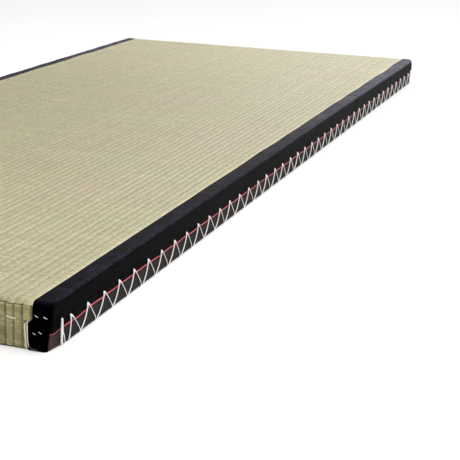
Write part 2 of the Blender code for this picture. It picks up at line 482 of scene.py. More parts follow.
def woven_rush():
    f = Finish("woven_rush", 0.5)
    w = Weave(f)
    streak = f.plus(f.times(w.rib, 13.7), f.times(w.across, 1.7))
    bundle = f.noise(f.vector(streak, f.times(w.metres, 180.0), 2.0), 1.0, 2.0)
    # shade holds the rushes' own tones together with their painted shade, painted highlights and
    # painted sheen.
    shade = f.times(strand_shade(f, w, bundle), groove_shade(f, w), place_shade(f, w), end_shade(f, w))
    colour = f.mix(1.0, rush_colour(f, w), f.vector(shade, shade, shade), "MULTIPLY")
    height = f.times(f.maths("POWER", w.roundness, 0.6), f.fit(w.from_back, 0.30, 0.5, 1.0, 0.0))
    lumps = f.bump(bundle, BUNDLE_DEPTH)
    return f.set(Base_Color=colour, Normal=f.bump(height, STEM_DEPTH, lumps), Specular_IOR_Level=0.5)


RUSH = woven_rush()
print(RUSH.name, "has", len(RUSH.node_tree.nodes), "nodes")

# %% [markdown]
# ### Cloths and strings
#
# The border is a close twill with a faint satin look, so it is almost black and turns grey where
# light rakes along it. On its top that sheen is also painted: a lighter strip that widens and
# brightens towards the far end. The ridge along the outer edge has a painted highlight. The backing
# is a coarse gauze, dusty at its corners. Strings are plied: their twist is a slanting wave on a map
# that runs along and around each string, painted darker in the grooves between plies as painted
# shade. The red cord has faded towards the far end, and is painted darker near the ends as shade.

# %% Black cloth
TWILL_PITCH = 0.0009
TWILL_DEPTH = 0.00012
# Where the painted sheen on the borders starts to brighten towards the far end, and where the red cord
# starts to fade.
SHEEN_AND_FADE_FROM = -0.4 * SKIN_Y


def painted_sheen_strip(f, outward, z, fade_and_sheen):
    """1 on the top of a border, which is painted lighter as sheen, and 0 down its side."""
    lowest = f.minus(TOP - 0.0035, f.times(fade_and_sheen, 0.0050))
    highest = f.minus(TOP - 0.0008, f.times(fade_and_sheen, 0.0035))
    outermost = f.plus(SKIN_X, f.times(fade_and_sheen, 0.004))
    innermost = f.plus(SKIN_X - 0.010, f.times(fade_and_sheen, 0.008))
    return f.times(f.fit(z, lowest, highest), f.fit(outward, outermost, innermost))


def painted_ridge_highlight(f, outward, y, z):
    """How much painted highlight the ridge along the outer edge gets: in patches, and not by the near
    corner.
    """
    across = f.fit(outward, SKIN_X - 0.0070, SKIN_X - 0.0045)
    patches = f.fit(f.noise(f.place(), 130.0, 3.0), 0.35, 0.65, 0.30, 0.75)
    along = f.fit(y, -SKIN_Y + 0.008, -SKIN_Y + 0.030)
    return f.times(across, f.fit(z, TOP - 0.0050, TOP - 0.0028), patches, along)


def black_cloth():
    f = Finish("black_cloth", 0.4)
    across, along, _ = f.uv("cloth")
    x, y, z = f.parts_of(f.place())
    outward = f.unsigned(x)
    twill = f.ripple(f.plus(across, f.times(along, 0.5)), TWILL_PITCH)
    height = f.plus(f.times(twill, 0.5), f.times(f.ripple(along, TWILL_PITCH), 0.25))
    worn = f.fit(f.noise(f.place(), 38.0, 4.0), 0.42, 0.72)
    # Painted sheen: the top strip is painted lighter than the side, more so towards the far end, and
    # the ridge has a painted highlight.
    fade_and_sheen = f.fit(y, SHEEN_AND_FADE_FROM, SKIN_Y)
    fresh = f.mix(worn, seen(3, 3, 5), seen(8, 7, 11))
    darker = f.mix(fade_and_sheen, seen(18, 16, 23), seen(72, 69, 82))
    lighter = f.mix(fade_and_sheen, seen(33, 30, 41), seen(99, 97, 109))
    colour = f.mix(painted_sheen_strip(f, outward, z, fade_and_sheen), fresh, f.mix(worn, darker, lighter))
    ridge_highlight_colour = f.mix(fade_and_sheen, seen(44, 42, 54), seen(92, 89, 104))
    colour = f.mix(painted_ridge_highlight(f, outward, y, z), colour, ridge_highlight_colour)
    f.set(Specular_IOR_Level=0.006, Specular_Tint=(0.80, 0.78, 1.0, 1.0))
    return f.set(Base_Color=colour, Normal=f.bump(height, TWILL_DEPTH))


BLACK = black_cloth()
print(BLACK.name, "has", len(BLACK.node_tree.nodes), "nodes")

# %% Gauze, cord and string
GAUZE_PITCH = 0.0022
GAUZE_DEPTH = 0.0003
PLY_DEPTH = 0.0002


def backing_gauze():
    f = Finish("backing_gauze", 0.85)
    across, along, _ = f.uv("cloth")
    weave = f.maths("MAXIMUM", f.ripple(across, GAUZE_PITCH), f.ripple(along, GAUZE_PITCH))
    threads = f.fit(weave, -0.2, 0.5)
    dirt = f.fit(f.noise(f.place(), 14.0, 3.0), 0.4, 0.7)
    colour = f.mix(dirt, seen(38, 35, 34), seen(46, 37, 32))
    y = f.unsigned(f.parts_of(f.place())[1])
    dust = f.fit(y, SKIN_Y - 0.030, SKIN_Y - 0.006, 0.0, 0.65)
    colour = f.mix(dust, colour, seen(84, 66, 62))
    colour = f.mix(threads, seen(16, 14, 14), colour)
    return f.set(Base_Color=colour, Normal=f.bump(threads, GAUZE_DEPTH), Specular_IOR_Level=0.2)


def plied(name, light, dark, lay=0.0030, plies=2, roughness=0.7, end_shade_colour=None, fade_and_sheen=None):
    """A string or cord of a few twisted plies. The map runs in metres along it and turns around."""
    f = Finish(name, roughness)
    metres, turn, _ = f.uv("string")
    twist = f.ripple(f.minus(f.maths("DIVIDE", metres, lay), turn), 1 / plies)
    ply = f.fit(twist, -1.0, 0.4)
    dirt = f.fit(f.noise(f.place(), 60.0, 3.0), 0.35, 0.75)
    # Each ply is painted darker in the groove beside the next one, as painted shade.
    colour = f.mix(f.times(ply, f.minus(1.0, f.times(dirt, 0.35))), dark, light)
    y = f.parts_of(f.place())[1]
    if fade_and_sheen:
        colour = f.mix(f.fit(y, SHEEN_AND_FADE_FROM, SKIN_Y, 0.0, 0.7), colour, fade_and_sheen)
    # Painted shade: the cord is painted darker near the ends of the mat.
    if end_shade_colour:
        colour = f.mix(f.fit(f.unsigned(y), SKIN_Y - 0.026, SKIN_Y - 0.019), colour, end_shade_colour)
    return f.set(Base_Color=colour, Normal=f.bump(ply, PLY_DEPTH))


GAUZE = backing_gauze()
RED = plied(
    "red_cord",
    seen(220, 90, 101),
    seen(182, 54, 66),
    lay=0.0032,
    plies=3,
    roughness=0.55,
    # painted shade near the ends, and a fade towards the far end
    end_shade_colour=seen(134, 40, 50),
    fade_and_sheen=seen(150, 76, 84),
)
WHITE = plied("white_string", seen(255, 255, 254), seen(232, 230, 226))
CREAM = plied("cream_string", seen(252, 249, 234), seen(222, 214, 190))
GREY = plied("grey_string", seen(226, 224, 228), seen(176, 174, 180))
DUSTY = plied("dusty_string", seen(112, 99, 97), seen(62, 50, 48), roughness=0.8)
print("finishes:", ", ".join(material.name for material in bpy.data.materials))

# %% [markdown]
# ## Helpers for sheets and strings
#
# Everything on a tatami is a flat sheet wrapped round a board, or a string laid on it. A sheet
# starts as a flat grid whose corners are then carried to their places. A string starts as a grid
# too, rolled into a tube along its route. A grid keeps its map of metres, which the weave needs.


# %% Helpers for sheets
def add_piece(name, bm, material, node=None):
    """Makes a finished mesh a piece of the mat, smooth shaded, in place of a solid if one is named."""
    mesh = bpy.data.meshes.new(name)
    bm.to_mesh(mesh)
    triangles = sum(len(face.verts) - 2 for face in bm.faces)
    bm.free()
    mesh.materials.append(material)
    mesh.shade_smooth()
    thing = bpy.data.objects.new(name, mesh)
    bpy.context.scene.collection.objects.link(thing)
    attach(thing, BODY)
    if node:
        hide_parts(node)
    print(f"{name}: {triangles} triangles")
    return thing


def flat_grid(columns, rows):
    """A grid of faces, and each of its corners with its column and row."""
    bm = bmesh.new()
    bmesh.ops.create_grid(bm, x_segments=columns - 1, y_segments=rows - 1, size=1.0)
    cells = []
    for vert in bm.verts:
        column = round((vert.co.x + 1) / 2 * (columns - 1))
        row = round((vert.co.y + 1) / 2 * (rows - 1))
        cells.append((vert, column, row))
    return bm, cells


def write_map(bm, name, values):
    """Writes a map from one pair of values for each corner, by the corner's index."""
    layer = bm.loops.layers.uv.new(name)
    for face in bm.faces:
        for loop in face.loops:
            loop[layer].uv = values[loop.vert.index]


def thicken(thing, thickness):
    """Gives a sheet its thickness, inwards from its outer face."""
    cloth = thing.modifiers.new("cloth", "SOLIDIFY")
    cloth.thickness = thickness
    cloth.offset = -1.0


print("pieces ride on", BODY)


# %% Helpers for strings
def smooth_route(points, steps):
    """A smooth curve through the points, with a few steps between each two."""
    points = [Vector(point) for point in points]
    padded = [2 * points[0] - points[1]] + points + [2 * points[-1] - points[-2]]
    route = []
    for before, start, end, after in zip(padded, padded[1:], padded[2:], padded[3:]):
        for step in range(steps):
            t = step / steps
            bend = 2 * before - 5 * start + 4 * end - after
            twist = 3 * (start - end) + after - before
            route.append(start + 0.5 * t * ((end - before) + t * (bend + t * twist)))
    return route + [points[-1]]


def frames_along(route):
    """Two directions square to the route at each point, turning as little as they can."""
    ahead = [(b - a).normalized() for a, b in zip(route, route[1:])]
    tangents = [ahead[0]] + [(a + b).normalized() for a, b in zip(ahead, ahead[1:])] + [ahead[-1]]
    side = tangents[0].orthogonal().normalized()
    frames = []
    for tangent in tangents:
        side = (side - tangent * side.dot(tangent)).normalized()
        frames.append((side, tangent.cross(side)))
    return frames


def roll_string(bm, route, radii, sides):
    """Adds a tube along the route to bm, with its map of metres along and turns around."""
    tube, cells = flat_grid(len(route), sides + 1)
    frames = frames_along(route)
    travelled = [0.0]
    for a, b in zip(route, route[1:]):
        travelled.append(travelled[-1] + (b - a).length)
    values = []
    for vert, column, row in cells:
        angle = 2 * math.pi * row / sides
        one, two = frames[column]
        vert.co = route[column] + radii[column] * (one * math.cos(angle) + two * math.sin(angle))
        values.append((travelled[column], row / sides))
    tube.verts.index_update()
    write_map(tube, "string", values)
    bmesh.ops.remove_doubles(tube, verts=tube.verts, dist=MERGED)
    bmesh.ops.holes_fill(tube, edges=[edge for edge in tube.edges if edge.is_boundary], sides=0)
    bmesh.ops.recalc_face_normals(tube, faces=tube.faces)
    mesh = bpy.data.meshes.new("tube")
    tube.to_mesh(mesh)
    tube.free()
    bm.from_mesh(mesh)
    bpy.data.meshes.remove(mesh)


print(len(smooth_route([(0, 0, 0), (1, 1, 0), (2, 0, 0)], 4)), "places through 3 points in steps of 4")

# %% [markdown]
# ### Soft corners
#
# A straw board is cut square, but handling rounds its lower corners and the cloth draws in there.
# The near right corner is drawn in most. One rule moves every sheet near a corner, so that the
# board, the backing and the black cloth stay on top of each other. A second rule says how far the
# red cord hangs below a straight line. It sags in a few small waves near a corner, and the cloths'
# edges along it follow.

# %% Soft corners
CORNER_PULL = {(1, -1): 0.0045, (1, 1): 0.0012, (-1, -1): 0.0022, (-1, 1): 0.0016}
PULL_ALONG = 0.045
PULL_ACROSS = 0.030
PULL_HEIGHT = 0.040


def drawn_in(place):
    """The place after the corner nearest to it has been drawn in."""
    side = 1 if place.x > 0 else -1
    end = 1 if place.y > 0 else -1
    near_end = ease(abs(place.y), SKIN_Y - PULL_ALONG, SKIN_Y)
    near_side = ease(abs(place.x), SKIN_X - PULL_ACROSS, SKIN_X)
    low = 1 - ease(place.z, 0.0, PULL_HEIGHT)
    moved = place.copy()
    moved.x -= side * CORNER_PULL[side, end] * near_end * near_side * low
    return moved


def lay_string(bm, route, thickness, sides):
    """Adds a string of even thickness along the route, drawn in at the corners as the cloth is."""
    roll_string(bm, [drawn_in(place) for place in route], [thickness / 2] * len(route), sides)


print("drawn in at the near right corner by", CORNER_PULL[1, -1])

# %% Along a long edge
CORD_WANDER = 0.0012
SAG_SHARE = {(1, -1): 1.0, (1, 1): 0.6, (-1, -1): 0.7, (-1, 1): 0.8}
SAG_KNOTS = (
    (0.000, 0.0030),
    (0.010, 0.0044),
    (0.024, 0.0029),
    (0.052, 0.0016),
    (0.070, 0.0031),
    (0.090, 0.0024),
    (0.104, 0.0006),
    (0.130, 0.0010),
    (0.200, 0.0003),
)
EDGE_STRAIGHT = SKIN_Y - CORNER_R
EDGE_TURNS = 4


def cord_sag(side, y):
    """How far the red cord, and the cloths' edges along it, hang below a straight line at y."""
    inward = max(0.0, SKIN_Y - abs(y))
    sag = SAG_KNOTS[-1][1]
    for (from_end, one), (to_end, other) in zip(SAG_KNOTS, SAG_KNOTS[1:]):
        if from_end <= inward < to_end:
            sag = one + (other - one) * ease(inward, from_end, to_end)
    return sag * SAG_SHARE[side, 1 if y > 0 else -1] - CORD_WANDER * wave(y, 0.0, 0.030, 40.0 + side)


def edge_stations(steps):
    """Y of even stations along a long edge, with a few more where it turns in at each end."""
    turns = [(math.pi / 2 - FOLD_TURN) * step / EDGE_TURNS for step in range(1, EDGE_TURNS + 1)]
    bends = [EDGE_STRAIGHT + CORNER_R * math.sin(turn) for turn in turns]
    even = [-EDGE_STRAIGHT + 2 * EDGE_STRAIGHT * step / steps for step in range(steps + 1)]
    return [-y for y in reversed(bends)] + even + bends


def turned_in(y):
    """How far a long edge has turned in at y, round the upright corner."""
    reach = max(0.0, abs(y) - EDGE_STRAIGHT)
    return CORNER_R - math.sqrt(CORNER_R**2 - reach**2)


print(f"the edge turns in by {turned_in(edge_stations(1)[0]) * 1000:.1f} mm at its ends")

# %% [markdown]
# ## The rush cover
#
# The cover is the largest piece: 64 ribs that run along the mat, over the rounded end and down to
# the floor. It could be a flat slab with painted lines, but the light would then pass over it
# without a sound. So every rib is real: six columns of the grid make its round back and the groove
# beside it. The ribs wander a little and are not all equally full. Where the end string pulls, the
# cover is pressed in, and the shader is told so by an attribute.

# %% The cover's columns and rows
RIB_SHARES = ((0.0, 0.0), (0.11, 0.36), (0.28, 0.82), (0.5, 1.0), (0.72, 0.82), (0.89, 0.36))
COVER_ROUND = END_R - BOARD_INSET
FACE_ROWS = 20
ROUND_ROWS = 6
TOP_ROWS = 48
CHAMFER = 0.0012
UNDER_CLOTH_STEPS = 4


def cover_columns():
    """X, rib count and fullness of each column, from the left edge of the board to the right."""
    columns = []
    for rib in range(RIBS):
        for share, rise in RIB_SHARES:
            columns.append((-RIB_EDGE + (rib + share) * RIB_PITCH, rib + share, rise))
    columns.append((RIB_EDGE, float(RIBS), 0.0))
    radius = CORNER_R - BOARD_INSET
    right = []
    for step in range(UNDER_CLOTH_STEPS + 1):
        turn = math.pi / 2 * step / UNDER_CLOTH_STEPS
        right.append((SIDE_START + radius * math.sin(turn), RIBS + 0.5 + step, 0.0))
    left = [(-x, RIBS - rib, rise) for x, rib, rise in reversed(right)]
    return left + columns + right


def cover_rows():
    """The stretch of cover and the share along it, for each row from the near foot to the middle."""
    rows = [("foot", 0.0)]
    rows += [("face", step / FACE_ROWS) for step in range(FACE_ROWS)]
    rows += [("round", step / ROUND_ROWS) for step in range(ROUND_ROWS)]
    rows += [("top", step / TOP_ROWS) for step in range(TOP_ROWS + 1)]
    return rows


def edge_drop(x, inset, radius):
    """How far a rounded long edge has dropped at x."""
    inner = radius - inset
    reach = max(0.0, abs(x) - (SKIN_X - radius))
    return inner - math.sqrt(max(0.0, inner**2 - reach**2))


def cover_place(x, row):
    """Y and Z on the cover's near half, the direction it faces there, and metres from its foot."""
    stretch, share = row
    drop = edge_drop(x, BOARD_INSET, CORNER_R)
    end = GROOVE_END - drop
    top = GROOVE_TOP - drop
    low = BOARD_LOW + edge_drop(x, BOARD_INSET, FOOT_R)
    face = GROOVE_TOP - COVER_ROUND - BOARD_LOW - CHAMFER
    if stretch == "foot":
        return -(end - CHAMFER), low, (0.0, 0.0), -CHAMFER
    if stretch == "face":
        z = low + CHAMFER + share * (top - COVER_ROUND - low - CHAMFER)
        return -end, z, (-1.0, 0.0), share * face
    if stretch == "round":
        turn = share * math.pi / 2
        y = -(end - COVER_ROUND) - COVER_ROUND * math.cos(turn)
        z = top - COVER_ROUND + COVER_ROUND * math.sin(turn)
        return y, z, (-math.cos(turn), math.sin(turn)), face + turn * COVER_ROUND
    reach = end - COVER_ROUND
    metres = face + math.pi / 2 * COVER_ROUND + share * (GROOVE_END - COVER_ROUND)
    return -reach * (1 - share), top, (0.0, 1.0), metres


COLUMNS = cover_columns()
NEAR_ROWS = cover_rows()
ROWS = NEAR_ROWS + NEAR_ROWS[-2::-1] + NEAR_ROWS[:1]
COVER_LENGTH = 2 * cover_place(0.0, ("top", 1.0))[3]
print(f"{len(COLUMNS)} columns, {len(ROWS)} rows, {COVER_LENGTH:.3f} m of cover")

# %% [markdown]
# The wandering is smooth noise, read at each corner: sideways on the top by less than a
# millimetre, and more on the ends, where the cover was folded by hand. It fades out towards the
# borders, because the black cloth holds the outermost ribs straight.

# %% How far a rib stands out
FULLNESS_CHANGE = 0.22
TOP_FLATNESS = 0.42
FOLD_STEP_Z = 0.036
FOLD_STEP = 0.0060


def rib_relief(x, z, rib, rise, metres, on_end):
    """How far the cover stands out from the bottom of its grooves at a corner of the grid."""
    full = 1 + FULLNESS_CHANGE * noise.noise(Vector((math.floor(rib) * 3.7, metres * 9, 1.0)))
    flat = 0.0
    if not on_end:
        flat = TOP_FLATNESS * (1 - ease(abs(x), RIB_EDGE - 0.5 * RIB_PITCH, RIB_EDGE - 0.0005))
    relief = RIB_RISE * (flat + (1 - flat) * rise * full)
    if on_end and z < FOLD_STEP_Z:
        relief *= 1 - ease(abs(x), BORDER_EDGE - FOLD_STEP - 0.003, BORDER_EDGE - FOLD_STEP)
    return relief


print(f"a rib stands {RIB_RISE * 1000:.1f} mm high, and is {TOP_FLATNESS:.0%} filled up on the top")

# %% The cover
WANDER_TOP = 0.0012
WANDER_END = 0.0020
SWELL = 0.0004
PRESS_DEPTH = 0.0024


def unrolled(x, number):
    """Y, Z, facing and metres on the whole cover: the far half mirrors the near one."""
    y, z, facing, metres = cover_place(x, ROWS[number])
    if number == len(ROWS) - 1:
        return y, z, facing, COVER_LENGTH + CHAMFER
    if number >= len(NEAR_ROWS):
        return -y, z, (-facing[0], facing[1]), COVER_LENGTH - metres
    return y, z, facing, metres


def cover_corner(column, number):
    """The place of one corner of the grid, its rib and metres, and how deep it is pressed."""
    x, rib, rise = COLUMNS[column]
    y, z, facing, metres = unrolled(x, number)
    on_end = abs(facing[0]) > 0.5
    free = 1 - ease(abs(x), RIB_EDGE - 0.030, RIB_EDGE - 0.002)
    wander = WANDER_END * wave(x, metres, 0.035, 7.0) if on_end else 0.0
    wander += WANDER_TOP * wave(x, metres, 0.16, 2.0)
    press = pressed_by_string(x, z) if on_end else 0.0
    out = rib_relief(x, z, rib, rise, metres, on_end) + SWELL * wave(x, metres, 0.09, 5.0) * free
    out -= PRESS_DEPTH * press
    place = Vector((x + free * wander, y + facing[0] * out, z + facing[1] * out))
    return drawn_in(place), (rib, metres), press


def rush_cover():
    bm, cells = flat_grid(len(COLUMNS), len(ROWS))
    spots = []
    presses = []
    for vert, column, number in cells:
        vert.co, spot, press = cover_corner(column, number)
        spots.append(spot)
        presses.append(press)
    bm.verts.index_update()
    write_map(bm, "ribs", spots)
    pressed = bm.verts.layers.float.new("pressed")
    for vert in bm.verts:
        vert[pressed] = presses[vert.index]
    bmesh.ops.remove_doubles(bm, verts=bm.verts, dist=MERGED)
    bmesh.ops.holes_fill(bm, edges=[edge for edge in bm.edges if edge.is_boundary], sides=0)
    bmesh.ops.recalc_face_normals(bm, faces=bm.faces)
    return add_piece("rush_cover", bm, RUSH, "rush_mat")


cover = rush_cover()

# %% [markdown]
# ## The backing
#
# Under the board lies a sheet of dark gauze, turned up along both long sides as far as the red
# cord. It is a grid bent over the rounded foot, thickened afterwards. The flap sags as the cord
# does.

# %% The backing
BACKING_END = 0.004
FLAP_INSET = 0.0002
FLAP_STEPS = 4
BEND_STEPS = 5
BACKING_ROWS = 400
SLACK = 0.0005


def backing_profile():
    """X and Z of the sheet's outer face on the right, from under the board to the flap's top."""
    side_x = SKIN_X - FLAP_INSET
    reach = side_x - FOOT_R
    turns = [math.pi / 2 * step / BEND_STEPS for step in range(BEND_STEPS + 1)]
    flat = [(reach * share, 0.0) for share in (0.25, 0.5, 0.75, 0.92)]
    bend = [(reach + FOOT_R * math.sin(turn), FOOT_R * (1 - math.cos(turn))) for turn in turns]
    rises = [(FLAP_TOP - FOOT_R) * step / FLAP_STEPS for step in range(1, FLAP_STEPS + 1)]
    return flat + bend + [(side_x, FOOT_R + rise) for rise in rises]


def backing_corner(x, z, y, end):
    """The place of one corner of the backing's grid. Under the mat it stops short of the end."""
    side = 1 if x > 0 else -1
    slack = SLACK * wave(y, z, 0.022, 3.0 + side) * ease(z, 0.002, 0.010)
    x -= side * turned_in(y)
    z -= cord_sag(side, y) * ease(z, FLAP_TOP - 0.008, FLAP_TOP)
    if z < TOUCH:
        y = min(end, max(-end, y))
    return drawn_in(Vector((x + side * (slack - GAP) * ease(z, 0.001, 0.006), y, z)))


def backing():
    right = backing_profile()
    profile = [(-x, z) for x, z in reversed(right)] + [(0.0, 0.0)] + right
    lengths = [0.0]
    for (x0, z0), (x1, z1) in zip(profile, profile[1:]):
        lengths.append(lengths[-1] + math.hypot(x1 - x0, z1 - z0))
    end = SKIN_Y - BACKING_END
    stations = edge_stations(BACKING_ROWS)
    bm, cells = flat_grid(len(profile), len(stations))
    values = []
    for vert, column, row in cells:
        vert.co = backing_corner(*profile[column], stations[row], end)
        values.append((lengths[column], vert.co.y))
    bm.verts.index_update()
    write_map(bm, "cloth", values)
    bmesh.ops.remove_doubles(bm, verts=bm.verts, dist=MERGED)
    bmesh.ops.recalc_face_normals(bm, faces=bm.faces)
    if min(bm.faces, key=lambda face: face.calc_center_median().z).normal.z > 0:
        bmesh.ops.reverse_faces(bm, faces=bm.faces)
    thing = add_piece("backing_cloth", bm, GAUZE, "backing_sheet")
    thicken(thing, BACKING_CLOTH)
    print(f"backing cut to {lengths[-1]:.3f} x {2 * end:.3f} m")


backing()

# %% [markdown]
# ## The black borders
#
# A border is one strip of cloth. It lies 26 mm wide on the top, turns over the long edge and hangs
# down the side to the red cord, and at each end it is folded down to the floor. The grid makes the
# top and the ends. The side is then filled in, and cut up with bisect_plane so that it can pucker
# where the lacing pulls. On the end the fold is a little wider below its middle, as the maker
# turned it in by hand.

# %% Stitch places along the sides
STITCHES = 42
FIRST_STITCH = 0.0500
LAST_HOLE = SKIN_Y + 0.0010 - FIRST_STITCH
STITCH_PITCH = 2 * LAST_HOLE / (STITCHES - 1)
LACE_D = 0.0015
HOLE_HEIGHT = LACING_TOP - LACE_D / 2
SET_BY_EYE = 0.0012


def stitch_holes(side):
    """Y of each hole of the lacing on one side, set by eye and so not quite even."""
    draw = random.Random(11 + side)
    even = [-LAST_HOLE + number * STITCH_PITCH for number in range(STITCHES)]
    return [place + draw.uniform(-SET_BY_EYE, SET_BY_EYE) for place in even]


def nearest(holes, y):
    """How far y is from the nearest hole."""
    return y - min(holes, key=lambda hole: abs(hole - y))


print(f"{STITCHES} stitches on each side, {STITCH_PITCH * 1000:.1f} mm apart")

# %% Border grid
EDGE_STEPS = ((0.0, 0.0013), (0.0005, 0.0005), (0.0014, 0.0), (0.005, 0.0), (0.009, 0.0), (0.013, 0.0))
BORDER_ROUND_STEPS = 7
SIDE_LEVELS = (0.0325, 0.0390, 0.0455)
FOLD_LEVELS = (0.0005, 0.007, 0.014, 0.020)
FINE_ROWS = [0.002 * row for row in range(1, 54)]
COARSE_ROWS = [0.106 + 0.788 * row / 100 for row in range(1, 100)]
BORDER_ROWS = FINE_ROWS + COARSE_ROWS + [1 - share for share in reversed(FINE_ROWS)]


def border_columns():
    """X and drop of each column, from the folded inner edge to the outer face of the side."""
    columns = [(BORDER_EDGE + step, drop) for step, drop in EDGE_STEPS]
    for step in range(BORDER_ROUND_STEPS + 1):
        x = SIDE_START + CORNER_R * math.sin(math.pi / 2 * step / BORDER_ROUND_STEPS)
        columns.append((x, 0.0))
    return columns


def border_outline(x, sunk):
    """Y and Z of the cloth at x, from the near floor over the top to the far floor."""
    drop = edge_drop(x, 0.0, CORNER_R) + sunk
    end = SKIN_Y - drop
    top = TOP - drop
    near = [(-end, z) for z in FOLD_LEVELS + (BORDER_LOW,) + SIDE_LEVELS]
    for step in range(ROUND_ROWS + 1):
        turn = math.pi / 2 * step / ROUND_ROWS
        near.append((-(end - END_R) - END_R * math.cos(turn), top - END_R + END_R * math.sin(turn)))
    reach = end - END_R
    middle = [(-reach + 2 * reach * share, top) for share in BORDER_ROWS]
    return near + middle + [(-y, z) for y, z in reversed(near)]


def cloth_map(face, vert):
    """Metres across and along the strip, by the way the cloth faces."""
    x, y, z = abs(vert.co.x), vert.co.y, vert.co.z
    if abs(face.normal.x) > 0.7:
        return SKIN_X + TOP - z, y
    if abs(face.normal.y) > 0.7:
        return x, math.copysign(abs(y) + TOP - z, y)
    return x, y


print(f"{len(border_columns())} columns across the strip, {len(BORDER_ROWS)} rows along the top")

# %% Wrinkles, puckers and the fold's step
PUCKER = 0.0009
PUCKER_ALONG = 0.0065
PUCKER_UP = 0.0060
WRINKLE = 0.0009
EDGE_WANDER = 0.0036


def wrinkled(vert, side, holes):
    """How far a corner of the grid stands out: long wrinkles, and puckers at the holes."""
    x, y, z = vert.co
    long_one = 0.6 * wave(y, z + x, 0.060, 20.0 + side)
    short_one = 0.4 * wave(y, z + x, 0.017, 30.0 + side)
    out = WRINKLE * (long_one + short_one) * ease(abs(x), BORDER_EDGE, BORDER_EDGE + 0.004)
    if abs(vert.normal.x) < 0.5:
        return out
    along = nearest(holes, y) / PUCKER_ALONG
    up = (z - HOLE_HEIGHT) / PUCKER_UP
    return out - PUCKER * math.exp(-(along**2 + up**2))


def widened_fold(place, side):
    """The end fold is wider below the step, so its inner edge moves in there."""
    if abs(place.y) <= SKIN_Y - 0.003:
        return place
    below = 1 - ease(place.z, FOLD_STEP_Z - 0.0015, FOLD_STEP_Z + 0.0015)
    inner = 1 - ease(abs(place.x), BORDER_EDGE, SIDE_START)
    moved = place.copy()
    moved.x -= side * FOLD_STEP * below * inner
    return moved


def settled(vert, side, holes):
    """Where a corner of the smooth strip ends up: wrinkled, hanging, wandering and drawn in."""
    place = vert.co + vert.normal * wrinkled(vert, side, holes)
    if abs(vert.co.z - BORDER_LOW) < TOUCH and abs(vert.co.x) > FOLD_SIDE - TOUCH:
        place.z -= cord_sag(side, place.y)
    on_top = ease(place.z, TOP - 0.004, TOP - 0.001) * (1 - ease(abs(place.x), BORDER_EDGE, SIDE_START))
    place.x += EDGE_WANDER * on_top * (wave(place.y, 0.0, 0.12, 60.0 + side) - 0.2)
    return drawn_in(widened_fold(place, side))


print(f"puckers of {PUCKER * 1000:.1f} mm at the holes")


# %% The strip before it settles
def cut_side(bm, faces, point, normal):
    """Cuts the side's faces along a plane, and gives back all the faces of the side."""
    geom = set(faces)
    for face in faces:
        geom.update(face.edges)
        geom.update(face.verts)
    bmesh.ops.bisect_plane(bm, geom=list(geom), dist=TOUCH, plane_co=point, plane_no=normal)
    return [face for face in bm.faces if all(vert.co.x > SKIN_X - TOUCH for vert in face.verts)]


def border_shell():
    """The smooth strip of the right side: a grid for the top and the ends, and a filled side."""
    columns = border_columns()
    places = [border_outline(*column) for column in columns]
    bm, cells = flat_grid(len(columns), len(places[0]))
    for vert, column, row in cells:
        vert.co = (columns[column][0], *places[column][row])
    rim = [vert for vert in bm.verts if vert.co.x > SKIN_X - TOUCH and vert.co.z > BORDER_LOW - TOUCH]
    rim_edges = [edge for edge in bm.edges if all(vert in rim for vert in edge.verts)]
    side_faces = bmesh.ops.contextual_create(bm, geom=rim + rim_edges)["faces"]
    for level in SIDE_LEVELS:
        side_faces = cut_side(bm, side_faces, (0, 0, level), (0, 0, 1))
    for y, z in places[-1]:
        if z > TOP - CORNER_R - TOUCH:
            side_faces = cut_side(bm, side_faces, (0, y, 0), (0, 1, 0))
    spare = []
    for face in bm.faces:
        centre = face.calc_center_median()
        if centre.z < BORDER_LOW - TOUCH and centre.x > FOLD_SIDE:
            spare.append(face)
    bmesh.ops.delete(bm, geom=spare, context="FACES")
    return bm


print("side cut at", SIDE_LEVELS)


# %% Border cloth
def border(word, side):
    bm = border_shell()
    bmesh.ops.scale(bm, vec=(side, 1, 1), verts=bm.verts)
    bmesh.ops.recalc_face_normals(bm, faces=bm.faces)
    if max(bm.faces, key=lambda face: face.calc_center_median().z).normal.z < 0:
        bmesh.ops.reverse_faces(bm, faces=bm.faces)
    bm.normal_update()
    layer = bm.loops.layers.uv.new("cloth")
    for face in bm.faces:
        for loop in face.loops:
            loop[layer].uv = cloth_map(face, loop.vert)
    holes = stitch_holes(side)
    for vert in bm.verts:
        vert.co = settled(vert, side, holes)
    bm.normal_update()
    thing = add_piece(f"border_cloth_{word}", bm, BLACK, f"border_{word}")
    thicken(thing, BORDER_CLOTH)
    return thing


for word, side in SIDES:
    border(word, side)

# %% [markdown]
# ## The red cord
#
# A thin red cord is caught under the lower edge of each border. It hangs a little below a straight
# line, in small waves, and deepest near a corner. It also dips wherever the lacing crosses it.

# %% The red cord
CORD_STEPS = 420
CORD_FULLNESS = 1.2
CORD_PROUD = 0.0002
LACED_DIP = 0.0004
DIP_ALONG = 0.006


def red_cord(word, side):
    holes = stitch_holes(side)
    route = []
    for y in edge_stations(CORD_STEPS):
        dip = LACED_DIP * math.exp(-((nearest(holes, y) / DIP_ALONG) ** 2))
        x = SKIN_X - CORD_D / 2 + CORD_PROUD - turned_in(y)
        route.append(Vector((side * x, y, CORD_Z - cord_sag(side, y) - dip)))
    bm = bmesh.new()
    lay_string(bm, route, CORD_D * CORD_FULLNESS, 8)
    add_piece(f"red_edge_cord_{word}", bm, RED, f"red_cord_{word}")


for word, side in SIDES:
    red_cord(word, side)

# %% [markdown]
# ## The side lacing
#
# One white string laces each side. It comes out of a hole just above the red cord, is pulled down
# to the foot, runs a little way under the edge, and comes back up to the next hole. The leg on the
# near side is steep at first and then lies flatter, and the far leg is straighter. At the hole the
# string doubles back, so it looks thicker there.

